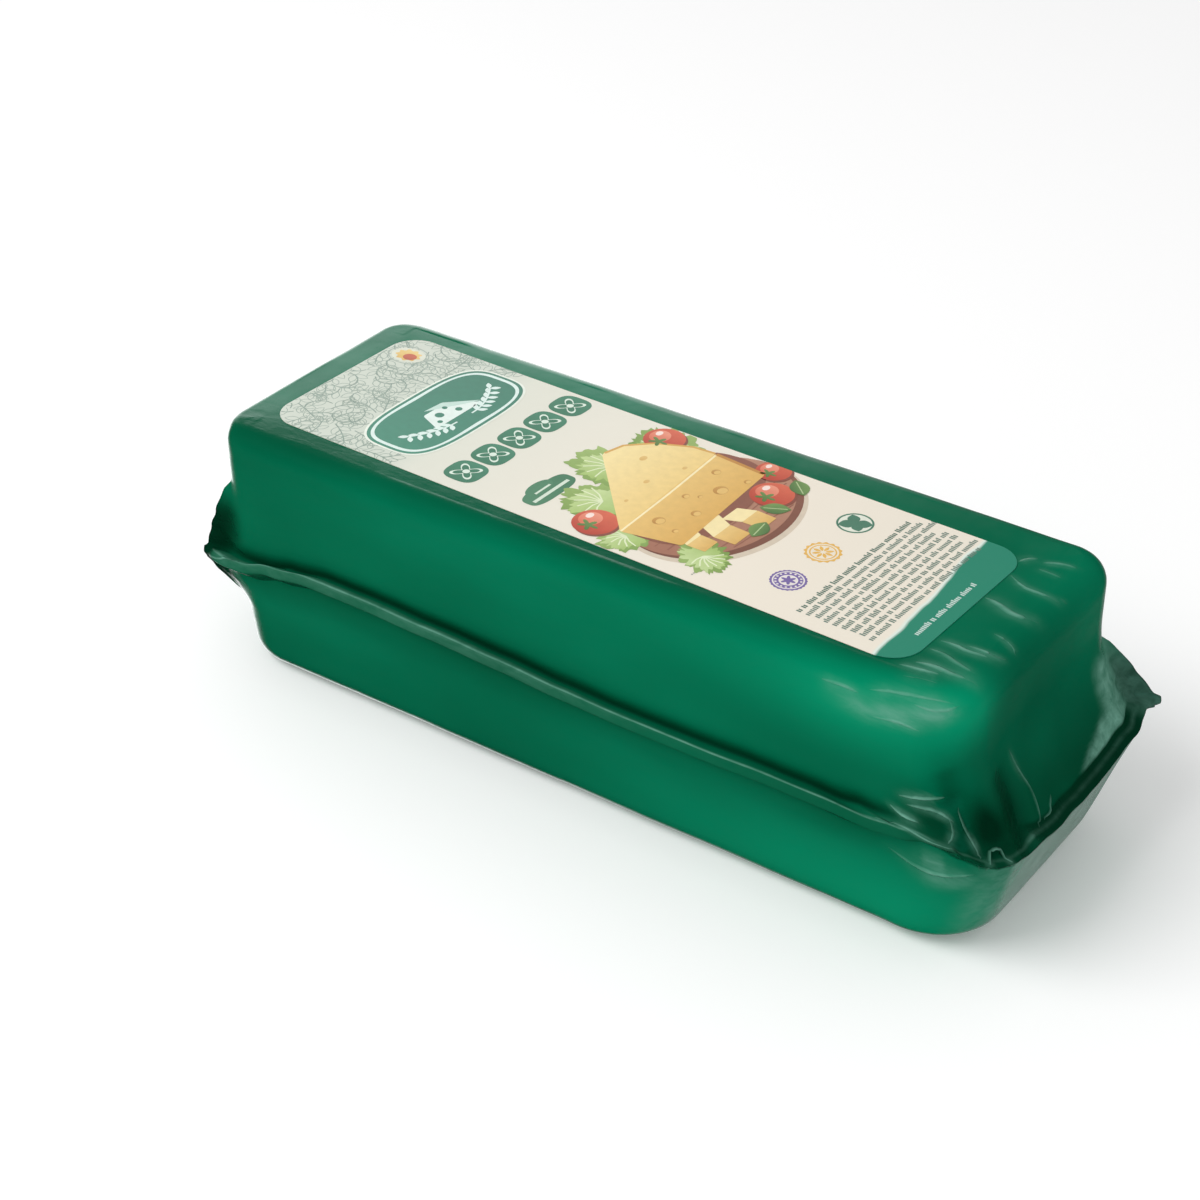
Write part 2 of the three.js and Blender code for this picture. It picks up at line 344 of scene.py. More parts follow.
def fin_painted_sheen(place, step, flat):
    """How much painted sheen the welded fin gets: along the right half only its folded edge keeps it."""
    pale = 0.8 * FIN_SHEEN[step] * (1 - 0.8 * flat)
    return pale if step == FOLD_STEP else pale * (1 - 0.85 * ease(place.x, -20, 60))


def dull_sheen(place, way, upper, endness, share, on_top):
    """How much painted dull sheen lightens the film at the right end."""
    if not upper:
        return 0.5 * ease(way.x, 0.45, 1)
    # a flare from the far edge, which widens downwards to the weld, and the far upright edge
    flare_from = 29 - 2.2 * max(52 - place.z, 0)
    flare = endness * ease(share, 0.03, 0.15) * ease(place.y, flare_from, flare_from + 9)
    far_edge = 0.6 * ease(place.y, 42, 50) * ease(place.x, 136, 144) * (1 - on_top)
    return flare + far_edge


def film_place(along, across, ring):
    """Point of the film for shares of its length and width on one of its rings, how far it stands off
    the loaf together with painted shade, how much painted light and how pale its painted sheen makes it."""
    height, inset, tilt, step = ring
    right, upper, in_fin = along > 0, height > SEAM_HEIGHT, step is not None
    rise = height / LOAF_HEIGHT
    half_length = lerp(BASE_LENGTH, TOP_LENGTH, rise) / 2
    half_width = lerp(BASE_WIDTH, TOP_WIDTH, min(height / SEAM_HEIGHT, 1)) / 2
    corner = lerp(BASE_CORNER, TOP_CORNER, rise)
    end_inset = inset if right else lerp(inset, inset * LEFT_EDGE_SHARE, ease(-along, 0.5, 1))
    loaf, way = rounded_point(along, across, half_length - end_inset, half_width - inset,
                              corner - inset)
    rim, _ = rounded_point(along, across, SEAM_RIGHT if right else SEAM_LEFT, SEAM_HALF_WIDTH,
                           SEAM_CORNER)

    # how much this place belongs to an end, and to the drawn-in corner at the near right
    endness = way.x ** 2 if way.length > 0 else 0
    apron = 0
    if right and across < 0:
        off_corner = ease(rim.y, *APRON_Y)
        apron = ease(rim.x, *APRON_X) * (1 - off_corner)
        endness *= off_corner
    flat = max(endness, apron)
    side = 1 - max(endness, apron * 0.8)

    # how far it has gone from the loaf out to the weld's edge
    end_share = sweep(height, *END_SWEEPS[upper, right])
    side_share = sweep(height, *SIDE_SWEEPS[upper])
    if not upper:
        side_share = lerp(side_share, end_share, ease(abs(rim.x), 140, 163))
    share = lerp(side_share, end_share, endness)
    if upper and apron:
        share = lerp(share, sweep(height, *APRON_SWEEP), apron)
    edge = seam_edge_height(rim.x, rim.y)
    standoff_and_shade = 0.0
    if in_fin:
        side_out, side_up = SIDE_FIN[step]
        end_out, end_up = END_FIN[step]
        out, up = lerp(side_out, end_out, flat), lerp(side_up, end_up, flat)
        share = lerp(share, 1, out)
        standoff_and_shade = lerp(0.3, 0.75, flat) if step > 2 else 0.6
    point = loaf.lerp(rim, share)

    # ears: the corner's film is drawn out to a ridge
    off_corner = max((1 - abs(along)) * CELLS_ALONG, (1 - abs(across)) * CELLS_ACROSS)
    near_corner = 1 - min(1, off_corner / (2 * CELLS_CORNER))
    ear = EARS.get((sign(along), sign(across)))
    if ear:
        stand, heading, ear_up, ear_down, bow = ear
        ear_near = closeness(height, ear_up, ear_down)
        ridge_out = lerp(EAR_FULLNESS, 1, out) if in_fin else EAR_FULLNESS * ear_near ** bow
        ridge_out *= stand
        cut = corner * (1 - sqrt(0.5))
        ridge = Vector((copysign(half_length - cut, along) + heading[0] * ridge_out,
                        copysign(half_width - cut, across) + heading[1] * ridge_out))
        point = point.lerp(ridge, near_corner ** 3 * ease(ear_near, 0, 0.15))
        standoff_and_shade = max(standoff_and_shade, ease(near_corner, 0.2, 0.8) * ease(ear_near, 0.1, 0.6))

    # heights follow the sagging weld, and the film is drawn in just above and below it
    full = LOAF_HEIGHT - SEAM_HEIGHT if upper else SEAM_HEIGHT
    near_seam = closeness(height, full, full) ** 2
    if in_fin:
        z = edge + up
    else:
        z = height + (edge + (2.6 if upper else -1.4) - SEAM_HEIGHT) * near_seam
        gap = abs(height - SEAM_HEIGHT) - WELD_GAP / 2
        point -= way * side * (1.6 * hump(gap - 1, 4.5) if upper else 0.4 * hump(gap - 1, 4))
        if upper:
            # painted shade in the groove just above the weld
            standoff_and_shade = max(standoff_and_shade, 0.95 * hump(gap, 3.6) * side)
            standoff_and_shade = max(standoff_and_shade, ease(share, 0.02, 0.6) * (0.35 * endness + 0.75 * apron))
        else:
            # a painted shadow in a band just below the weld
            standoff_and_shade = max(standoff_and_shade, 0.22 * hump(gap, 8) * side)

    # relief: the top's margin sinks, the film swells and wrinkles a little, and folds stand out
    place = Vector((point.x, point.y, z))
    from_rim = min(TOP_LENGTH / 2 - abs(point.x), TOP_WIDTH / 2 - abs(point.y))
    on_top = ease(height, LOAF_HEIGHT - TOP_EDGE, LOAF_HEIGHT)
    z -= on_top * TOP_SINK * (1 - ease(from_rim, 0, SINK_WIDTH))
    normal = Vector((way.x * cos(tilt), way.y * cos(tilt), sin(tilt)))
    # painted shade on the top's near margin
    near_margin = ease(-point.y, 20, 42) * (1 - ease(point.x, 105, 135))
    standoff_and_shade = max(standoff_and_shade, 0.3 * on_top * near_margin)
    swell = 0.25 * noise.noise(place / 34) + 0.08 * noise.noise(place / 12 + Vector((7, 3, 1)))
    if on_top > 0.5 and way.length == 0:
        swell = min(swell, 0) * 0.5
    gathers = (0.5 if right else 1.1) * noise.noise(Vector((place.y / 9, place.z / 40, 3)))
    swell += gathers * endness * near_seam * ease(share, 0.02, 0.4)
    crumple = ease(near_corner, 0.1, 0.6) if ear else 0
    swell += standoff_and_shade * lerp(0.15, 0.9, crumple) * noise.noise(place / 5 + Vector((2, 5, 8)))
    folded, fold_pale = fold_relief(place)
    place = within_limits(Vector((point.x, point.y, z)) + normal * (swell + folded))

    # painted sheen on the fin, the right end and the right ear; folds add painted highlights and shade
    if in_fin:
        pale = fin_painted_sheen(place, step, flat)
    else:
        pale = dull_sheen(place, way, upper, endness, share, on_top) if right else 0
    if ear:
        pale = lerp(pale, 0.4 if right else 0, ease(near_corner, 0.3, 0.7)
                    * ease(ear_near, 0.05, 0.4))
    return place, clamp(standoff_and_shade + max(-fold_pale, 0)), painted_glow(place), clamp(max(pale, fold_pale))


def grid_box(cells_x, cells_y, cells_z):
    """A closed cube from -1 to 1 whose sides are cut into a grid."""
    box = bmesh.new()
    bmesh.ops.create_cube(box, size=2)
    for axis, cells in enumerate((cells_x, cells_y, cells_z)):
        edges = [edge for edge in box.edges if abs((edge.verts[0].co - edge.verts[1].co)[axis]) > 1]
        bmesh.ops.subdivide_edges(box, edges=edges, cuts=cells - 1, use_grid_fill=True)
    return box


def piece(name, source, material, smooth=True):
    """Makes a bmesh in millimetres about the loaf's middle an object of the scene."""
    mesh = bpy.data.meshes.new(name)
    source.transform(Matrix.Translation((LOAF_MIDDLE * MM, 0, 0)) @ Matrix.Scale(MM, 4))
    source.to_mesh(mesh)
    source.free()
    mesh.polygons.foreach_set("use_smooth", [smooth] * len(mesh.polygons))
    mesh.materials.append(material)
    made = bpy.data.objects.new(name, mesh)
    scene.collection.objects.link(made)
    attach(made, "root")
    return made


def colour(code):
    """An sRGB hex value as linear colour."""
    channels = [int(code[i:i + 2], 16) / 255 for i in (0, 2, 4)]
    return [c / 12.92 if c <= 0.04045 else ((c + 0.055) / 1.055) ** 2.4 for c in channels] + [1]


def node(material, kind, links=None, **settings):
    """Adds a shader node with its settings, and links other nodes' outputs to its inputs."""
    tree = material.node_tree
    made = tree.nodes.new("ShaderNode" + kind)
    for key, value in settings.items():
        if key.startswith("in_"):
            key = key[3:]
            made.inputs[int(key) if key.isdigit() else key.replace("_", " ")].default_value = value
        else:
            setattr(made, key, value)
    for key, output in (links or {}).items():
        tree.links.new(output, made.inputs[key])
    return made


def stretched(material, vector, scale):
    return node(material, "Mapping", {"Vector": vector}, in_Scale=scale).outputs["Vector"]


def grain(material, vector, size, detail, **settings):
    """Noise for an output vector, with grains of a size in millimetres."""
    return node(material, "TexNoise", {"Vector": vector}, in_Scale=1 / (size * MM),
                in_Detail=detail, **settings).outputs["Fac"]


def ranged(material, value, start, end, at_start, at_end, **settings):
    """Fits a value's range from start to end to another range."""
    return node(material, "MapRange", {"Value": value}, in_1=start, in_2=end, in_3=at_start,
                in_4=at_end, **settings).outputs["Result"]


def reckon(material, operation, links, **numbers):
    """The result of a sum or product of other nodes' outputs and numbers."""
    return node(material, "Math", links, operation=operation, **numbers).outputs["Value"]


def surface(material, links=None, **settings):
    """Gives a material its surface, and the surface its way out."""
    made = node(material, "BsdfPrincipled", links, **settings)
    node(material, "OutputMaterial", {"Surface": made.outputs["BSDF"]})


def new_material(name):
    material = bpy.data.materials.new(name)
    material.use_nodes = True
    material.node_tree.nodes.clear()
    return material


def ramp(material, value, *stops):
    """The colour for a value, between stops given as place and hex value."""
    made = node(material, "ValToRGB", {"Fac": value})
    elements = made.color_ramp.elements
    while len(elements) < len(stops):
        elements.new(0.5)
    for element, (place, code) in zip(elements, stops):
        element.position = place
        element.color = colour(code)
    return made.outputs["Color"]


# Green shrink film, a blown polyamide and polyethylene laminate: clear green where it clings to
# the pale cheese, almost black where it stands off it, with a soft gloss and faint drawn streaks.
# Light is painted into its colour as well: a painted glow, painted shade in the groove over the
# weld, under the fin, on the top's near margin and in hollows, and a painted grey-green sheen
# on the fin, the folds, the right end and the right ear
FIELDS = ("slack_and_shade", "painted_light", "pale")  # numbers that the mesh carries at each vert
film = new_material("green_shrink_film")
where = node(film, "TexCoord").outputs["Object"]
slack_and_shade, painted_light, pale = [node(film, "Attribute", attribute_name=name).outputs["Fac"] for name in FIELDS]
streaked = stretched(film, where, (0.45, 1, 1.2))
flecks = grain(film, streaked, 4.5, 3.5, in_Roughness=0.6, in_Distortion=0.4)
# painted sheen, broken up by the drawn streaks
painted_sheen_share = reckon(film, "MULTIPLY", {0: pale, 1: ranged(film, flecks, 0.34, 0.66, 0.45, 1.0)})
cloud = grain(film, stretched(film, where, (0.4, 1, 1)), 45, 2.5, in_Roughness=0.45)
tone = ramp(film, cloud, (0.3, "005D40"), (0.52, "006647"), (0.72, "006F4F"))
# painted light: the green turns lighter where light is painted in
painted_glow_mix = node(film, "Mix", {"Factor": painted_light, "A": tone}, data_type="RGBA")
painted_glow_mix.inputs["B"].default_value = colour("00936A")
# darker where the film stands off the loaf, and painted shade by the weld and in hollows
slack_and_shade_tint = ramp(film, slack_and_shade, (0.0, "FFFFFF"), (0.35, "C9D4CF"), (0.75, "83998F"), (1.0, "62776D"))
clear_film = node(film, "Mix", {"A": painted_glow_mix.outputs["Result"], "B": slack_and_shade_tint},
                  data_type="RGBA", blend_type="MULTIPLY", in_Factor=1.0)
# painted grey-green sheen laid over the film's colour
shade = node(film, "Mix", {"Factor": painted_sheen_share, "A": clear_film.outputs["Result"]}, data_type="RGBA")
shade.inputs["B"].default_value = colour("6FA592")
crumple = reckon(film, "MULTIPLY", {0: slack_and_shade, 1: flecks})
fine = grain(film, stretched(film, where, (1, 1, 3.2)), 9, 3.0, in_Roughness=0.5)
gloss = ranged(film, fine, 0.0, 1.0, 0.16, 0.3)
rippled = node(film, "Bump", {"Height": fine}, in_Strength=0.35, in_Distance=0.25 * MM)
bump = node(film, "Bump", {"Height": crumple, "Normal": rippled.outputs["Normal"]},
            in_Strength=0.5, in_Distance=1.0 * MM)
surface(film, {"Base Color": shade.outputs["Result"], "Roughness": gloss,
               "Normal": bump.outputs["Normal"]},
        in_IOR=1.5, in_Specular_IOR_Level=0.4, in_Specular_Tint=(0.05, 0.7, 0.5, 1))


def field_layers(mesh):
    return [mesh.verts.layers.float.new(name) for name in FIELDS]


body = grid_box(CELLS_ALONG, CELLS_ACROSS, len(RINGS) - 1)
body_layers = field_layers(body)
for vert in body.verts:
    ring = RINGS[round((vert.co.z + 1) / 2 * (len(RINGS) - 1))]
    vert.co, *values = film_place(vert.co.x, vert.co.y, ring)
    for layer, value in zip(body_layers, values):
        vert[layer] = value

# The folds' crests: narrow ridges of the same film, pinched up along each fold and let into it
CREST_SINK = 0.4
CREST_CELLS = (30, 6, 2)  # along a crest, across it and through it
film_tree = BVHTree.FromBMesh(body)
body.faces.ensure_lookup_table()
crests = []
for line, width, stand, pale_by, _ in FOLDS:
    if stand < 0 or width >= SOFT_FOLD:
        continue
    crest = grid_box(*CREST_CELLS)
    layers = field_layers(crest)
    for vert in crest.verts:
        along, across, over = vert.co
        middle = on_line(line, (along + 1) / 2)
        ahead = on_line(line, (along + 1) / 2 + 0.01) - on_line(line, (along + 1) / 2 - 0.01)
        foot, way_out, _, _ = film_tree.find_nearest(middle)
        thin = 0.12 + 0.88 * sin(pi * (along + 1) / 2) ** 0.7
        foot += ahead.cross(way_out).normalized() * across * width * thin
        foot, way_out, face, _ = film_tree.find_nearest(foot)
        rise = (1 - across ** 2) ** 2 * thin
        height = stand * rise - 0.05 if over >= 0 else -CREST_SINK
        vert.co = within_limits(foot + way_out * lerp(-CREST_SINK, height, clamp(over + 1)))
        corners = body.faces[face].verts
        for layer, body_layer in zip(layers, body_layers):
            vert[layer] = sum(corner[body_layer] for corner in corners) / len(corners)
        # painted highlight along the top of each crest
        vert[layers[2]] = clamp(vert[layers[2]] + pale_by * rise)
    crests.append(crest)
wrapped_loaf = piece("gouda_loaf_in_film", body, film)
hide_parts("wrapped_loaf")
for i, crest in enumerate(crests):
    piece(f"film_fold_{i + 1:02d}", crest, film)


# ------------------------ the top label
# A long label of coated paper-like film, die-cut with round corners and pressed flat on the top.
# Its cream ink stops short of the right end, so that the green of the pack shows through there.

LABEL_LENGTH, LABEL_WIDTH, LABEL_CORNER = 257, 77, 11
LABEL_CENTRE = Vector((-5, -2.5, 0))
LABEL_TURN = radians(-1.6)
LABEL_UNDER, LABEL_TOP = 98.60, 98.80


def on_label(mesh):
    """Turns a mesh in the label's own frame to its place on the loaf."""
    mesh.transform(Matrix.Translation(LABEL_CENTRE) @ Matrix.Rotation(LABEL_TURN, 4, "Z"))


# The label's own film: cream ink, greyer towards the leafy end, and no ink at the other end, where
# it turns the green of the film below; coated, with a low even gloss and a hardly visible ripple
label_film = new_material("coated_label_film")
where = node(label_film, "TexCoord").outputs["Object"]
in_label = node(label_film, "Mapping", {"Vector": where}, vector_type="TEXTURE",
                in_Location=((LABEL_CENTRE.x + LOAF_MIDDLE) * MM, LABEL_CENTRE.y * MM, 0),
                in_Rotation=(0, 0, LABEL_TURN), in_Scale=(MM, MM, MM))
place = node(label_film, "SeparateXYZ", {"Vector": in_label.outputs["Vector"]})
across_turn = reckon(label_film, "MULTIPLY", {0: place.outputs["Y"]}, in_1=pi / LABEL_WIDTH)
wave = reckon(label_film, "SINE", {0: across_turn})
ripple = grain(label_film, where, 16, 1.5)
bowed = reckon(label_film, "MULTIPLY_ADD", {0: wave, 2: place.outputs["X"]}, in_1=2.5)
along = reckon(label_film, "MULTIPLY_ADD", {0: ripple, 2: bowed}, in_1=4)
inked = ranged(label_film, along, -LABEL_LENGTH / 2, LABEL_LENGTH / 2, 0.0, 1.0)
ground = ramp(label_film, inked,
              (0.0, "CFD6C9"), (0.2, "D0D7CA"), (0.25, "DEDFD1"), (0.4, "E8E4D6"), (0.7, "F1E8D8"),
              (0.955, "F0E8D8"), (0.9565, "E2F0E6"), (0.959, "E2F0E6"), (0.96, "2B8A70"))
label_bump = node(label_film, "Bump", {"Height": ripple}, in_Strength=0.3, in_Distance=0.3 * MM)
surface(label_film, {"Base Color": ground, "Normal": label_bump.outputs["Normal"]},
        in_Roughness=0.3, in_IOR=1.48)

sheet = bmesh.new()
bmesh.ops.create_grid(sheet, x_segments=1, y_segments=1, size=0.5,
                      matrix=Matrix.Diagonal((LABEL_LENGTH, LABEL_WIDTH, 1, 1)))
bmesh.ops.bevel(sheet, geom=sheet.verts[:], offset=LABEL_CORNER, affect="VERTICES", segments=10,
                profile=0.5, material=-1)
raised = bmesh.ops.extrude_face_region(sheet, geom=sheet.faces[:])
bmesh.ops.translate(sheet, vec=(0, 0, LABEL_TOP - LABEL_UNDER),
                    verts=[part for part in raised["geom"] if isinstance(part, bmesh.types.BMVert)])
bmesh.ops.translate(sheet, vec=(0, 0, LABEL_UNDER), verts=sheet.verts[:])
bmesh.ops.recalc_face_normals(sheet, faces=sheet.faces[:])
on_label(sheet)
top_label = piece("top_label_sheet", sheet, label_film, smooth=False)
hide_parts("top_label")


# ------------------------ the print on the label
# Flat inks laid one over another by a printing press: line drawing, solid green, a still life,
# three seals and the small type, which is drawn as plain dashes.

INK_STEP = 0.013  # between one ink and the next, more than the real microns
PRINT_SHIFT = 1.5  # the print sits this much to the far side of the sheet's middle


def beyond_corner(place):
    """Whether a place in the label's frame lies off the label's length or outside a round corner."""
    over_u = abs(place.x) - (LABEL_LENGTH / 2 - LABEL_CORNER)
    over_v = abs(place.y) - (LABEL_WIDTH / 2 - LABEL_CORNER)
    return hypot(max(over_u, 0), max(over_v, 0)) > LABEL_CORNER - 0.04


def printed(name, mesh):
    """Makes a mesh of printed shapes a piece on the label."""
    mesh.transform(Matrix.Translation((0, PRINT_SHIFT, 0)))
    for face in mesh.faces:
        face.normal_update()
        if face.normal.z < 0:
            face.normal_flip()
    for side in (-1, 1):
        bmesh.ops.bisect_plane(mesh, geom=mesh.verts[:] + mesh.edges[:] + mesh.faces[:], dist=1e-5,
                               plane_co=(0, side * (LABEL_WIDTH / 2 - 0.05), 0), plane_no=(0, side, 0),
                               clear_outer=True)
    off_sheet = [vert for vert in mesh.verts if beyond_corner(vert.co)]
    bmesh.ops.delete(mesh, geom=off_sheet, context="VERTS")
    on_label(mesh)
    piece(name, mesh, inks, smooth=False)


shapes_drawn = itertools.count()


def print_layer():
    mesh = bmesh.new()
    mesh.verts.layers.float_color.new("ink")
    return mesh


def ink_verts(mesh, verts, codes, level, blend):
    """Gives verts their height over the sheet, and one colour or a blend of two."""
    layer = mesh.verts.layers.float_color["ink"]
    first, last = colour(codes[:6]), colour(codes[-6:])
    height = LABEL_TOP + INK_STEP * (level + 1 + next(shapes_drawn) % 20 / 25)
    for vert in verts:
        vert.co.z = height
        t = clamp(blend(vert))
        vert[layer] = [lerp(a, b, t) for a, b in zip(first, last)]


def round_outline(turn):
    return cos(turn), sin(turn)


def leaf_outline(turn):
    return cos(turn), sin(turn) * abs(sin(turn))


def petals(count, depth):
    def outline(turn):
        reach = 1 - depth * (0.5 - 0.5 * cos(count * turn))
        return reach * cos(turn), reach * sin(turn)
    return outline


def ruffle(seed, depth, frills=5.0):
    def outline(turn):
        round_place = Vector((cos(turn), sin(turn), 0))
        reach = 1 + depth * (noise.noise(round_place * frills + Vector((seed, 0, 0)))
                             + 0.6 * noise.noise(round_place * 2.6 * frills + Vector((0, seed, 0))))
        return reach * round_place.x, reach * round_place.y
    return outline


def pillow(power):
    def outline(turn):
        x, y = cos(turn), sin(turn)
        return (copysign(abs(x) ** (2 / power), x), copysign(abs(y) ** (2 / power), y))
    return outline


def blot(mesh, place, size, codes, level, outline=round_outline, turn=0.0, sides=28, hollow=0.0):
    """A disc or ring of ink, drawn into an outline of one or two half sizes."""
    width, height = size if isinstance(size, tuple) else (size, size)
    made = bmesh.ops.create_circle(mesh, cap_ends=not hollow, segments=sides, radius=1)["verts"]
    for vert in made:
        x, y = outline(atan2(vert.co.y, vert.co.x))
        vert.co.x, vert.co.y = x * width, y * height
    if hollow:
        rim = list({edge for vert in made for edge in vert.link_edges})
        inner = [part for part in bmesh.ops.extrude_edge_only(mesh, edges=rim)["geom"]
                 if isinstance(part, bmesh.types.BMVert)]
        for vert in inner:
            reach = vert.co.length
            vert.co *= max(reach - hollow, 0.01) / reach
        made = made + inner
    shares = {vert: 0.5 + vert.co.y / height / 2 for vert in made}
    bmesh.ops.transform(mesh, verts=made, matrix=Matrix.Translation((place[0], place[1], 0))
                        @ Matrix.Rotation(turn, 4, "Z"))
    ink_verts(mesh, made, codes, level, shares.get)


def panel(mesh, corners, codes, level, rounding=0.8):
    """A straight-sided field of ink with softened corners."""
    made = bmesh.ops.create_circle(mesh, cap_ends=True, segments=len(corners), radius=1)["verts"]
    for vert, corner in zip(made, corners):
        vert.co.x, vert.co.y = corner
    made = bmesh.ops.bevel(mesh, geom=made, offset=rounding, affect="VERTICES", segments=3,
                           profile=0.5, material=-1)["verts"]
    low, high = min(c[0] for c in corners), max(c[0] for c in corners)
    ink_verts(mesh, made, codes, level, lambda vert: (vert.co.x - low) / (high - low))


def stroke(mesh, points, width, code, level):
    """A line of ink: a short edge drawn along the points."""
    points = [Vector((x, y, 0)) for x, y in points]
    made = []
    for i, point in enumerate(points):
        ahead = (points[min(i + 1, len(points) - 1)] - points[max(i - 1, 0)]).normalized()
        side = Vector((-ahead.y, ahead.x, 0)) * width / 2
        if i == 0:
            ends = [mesh.verts.new(point + side), mesh.verts.new(point - side)]
            edge = mesh.edges.new(ends)
        else:
            left = ends[0].co.copy()
            drawn = bmesh.ops.extrude_edge_only(mesh, edges=[edge])["geom"]
            edge = next(part for part in drawn if isinstance(part, bmesh.types.BMEdge))
            ends = sorted(edge.verts, key=lambda vert: (vert.co - left).length)
            ends[0].co, ends[1].co = point + side, point - side
        made += ends
    ink_verts(mesh, made, code, level, lambda vert: 0)


# Printing ink on coated film: each shape's colour, a little uneven, with the sheet's low gloss
inks = new_material("printing_ink")
where = node(inks, "TexCoord").outputs["Object"]
ink = node(inks, "Attribute", attribute_name="ink").outputs["Color"]
depth = ranged(inks, grain(inks, where, 3, 3.0), 0.0, 1.0, 0.9, 1.1)
uneven_ink = node(inks, "VectorMath", {0: ink, "Scale": depth}, operation="SCALE")
surface(inks, {"Base Color": uneven_ink.outputs["Vector"]}, in_Roughness=0.32, in_IOR=1.48)


def beside(place, turn, reach):
    """The point at a distance from a place in one direction."""
    return place[0] + cos(turn) * reach, place[1] + sin(turn) * reach


EMBLEM = Vector((-80.5, -0.5))
chance = random.Random(7)

# Sprigs in thin grey-green line on the left end, in staggered rows round the emblem
ROW_STEP, SPRIG_STEP, STRAY = 6.8, 7.4, 1.8
sprigs = print_layer()
for row in range(9):
    for column in range(12):
        u = -127 + row * ROW_STEP + chance.uniform(-STRAY, STRAY)
        v = -41 + (column + row % 2 / 2) * SPRIG_STEP + chance.uniform(-STRAY, STRAY)
        heading = chance.uniform(0, 2 * pi)
        bend, length = chance.uniform(-1.2, 1.2), chance.uniform(9, 13)
        if u > -72:
            continue
        if ((u - EMBLEM.x) / 15) ** 4 + ((v - EMBLEM.y) / 31) ** 4 < 1:
            continue
        stem = []
        for i in range(6):
            share = i / 5 - 0.5
            stem.append(beside((u, v), heading + bend * share, share * length))
        stroke(sprigs, stem, 0.42, "869A8D", 0)
        for i in range(1, 6, 2):
            for side in (-1, 1):
                turn = heading + bend * (i / 5 - 0.5) + side * 0.65
                reach = 3.0 - 0.2 * i
                blot(sprigs, beside(stem[i], turn, reach), (reach, reach * 0.55), "94A79A", 0,
                     leaf_outline, turn, sides=12, hollow=0.3)
printed("leafy_line_print", sprigs)

# A small sun in a ring near the far left corner
SUN = (-118.5, 24)
small_sun = print_layer()
blot(small_sun, SUN, (8.2, 6.4), "A9B5A8", 1, hollow=0.45)
blot(small_sun, SUN, (6.9, 5.2), "DCDFCF", 1)
blot(small_sun, SUN, (5.4, 4.3), "DDB45C EBD08A", 2, petals(9, 0.22), sides=54)
blot(small_sun, (-117.2, 23.2), (2.7, 2.3), "B8573F CC6B4B", 3)
printed("small_sun_print", small_sun)

# The emblem: a round-cornered green shield across the label, a pale line in it, a wedge and ears
emblem = print_layer()
blot(emblem, EMBLEM, (17.2, 32.6), "EAF0E4", 2, pillow(3.4), sides=72)
blot(emblem, EMBLEM, (16.4, 31.8), "3F8A72 357C65", 3, pillow(3.4), sides=72)
blot(emblem, EMBLEM, (15.2, 30.6), "DDEFE8", 4, pillow(3.4), sides=72, hollow=1.5)
panel(emblem, [(-84.5, -8), (-84.5, 3), (-75, 13), (-75, -12)], "E4F1EA", 4, 0.9)
panel(emblem, [(-86.5, -5.5), (-85.7, 3.5), (-76, 13.4), (-77.5, 10)], "C6E0D5", 5, 0.5)
for u, v, size in [(-80.5, -4, 1.7), (-78, 3.5, 1.3), (-82.5, 1.2, 1.0), (-77.3, -7.5, 1.0)]:
    blot(emblem, (u, v), size, "3A836C", 6, sides=18)
for side in (-1, 1):
    stem = [(-72.5 - 0.02 * t * t, side * (4 + t)) for t in range(0, 19, 3)]
    stroke(emblem, stem, 0.7, "DDEFE8", 4)
    for u, v in stem[1:]:
        for lean in (-1, 1):
            blot(emblem, (u + lean * 1.5, v + side * 1.2), (2.0, 1.0), "DDEFE8", 4, leaf_outline,
                 side * pi / 2 + lean * -side * 0.8, sides=14)
printed("emblem_print", emblem)

# A band of five dark green rosettes
frieze = print_layer()
for i in range(5):
    middle = (-48.3, (i - 2) * 14.3)
    blot(frieze, middle, (6.9, 6.6), "2F7658 3A8264", 1, pillow(3), sides=40)
    blot(frieze, middle, (5.7, 5.4), "DCEBDD", 2, petals(4, 0.62), pi / 4, sides=64)
    blot(frieze, middle, (4.6, 4.3), "2F7658", 3, petals(4, 0.66), pi / 4, sides=64)
    blot(frieze, middle, 1.3, "DCEBDD", 4, sides=20)
printed("rosette_band_print", frieze)

# A small green tag with two pale bars
tag = print_layer()
blot(tag, (-18.7, -21.5), (4.6, 11.6), "4A8462 3E7A58", 1, pillow(3.2), sides=48)
blot(tag, (-22.2, -22.5), (3.0, 6.4), "4A8462", 1, sides=30)
stroke(tag, [(-20.6, -26.5), (-20.6, -18.5)], 0.9, "D5E4D2", 2)
stroke(tag, [(-17.6, -31), (-17.6, -12.5)], 1.4, "D5E4D2", 2)
printed("small_tag_print", tag)

# The still life: on a round board a wedge of cheese, cubes cut from it, small tomatoes and leaves.
# The picture stands with its foot towards the right end, so that u runs down it and v to its right
picture = print_layer()
BOARD = Vector((29, 2))
blot(picture, BOARD + Vector((3.2, -1)), (28, 36), "D8C9B4", 0, sides=72)
blot(picture, BOARD + Vector((2.0, 0)), (27, 35), "7A4C3C 8A5A48", 1, sides=72)
blot(picture, BOARD, (26.2, 34.4), "A5705A B98A72", 2, sides=72)
for i in range(11):
    offset = -22 + i * 4.4 + chance.uniform(-1, 1)
    reach = 33 * sqrt(1 - (offset / 26.2) ** 2) - 1.5
    vein = [(BOARD.x + offset + 0.5 * sin(t + i), BOARD.y + t / 4 * reach) for t in range(-4, 5)]
    stroke(picture, vein, chance.uniform(0.3, 0.8), "96624E", 3)


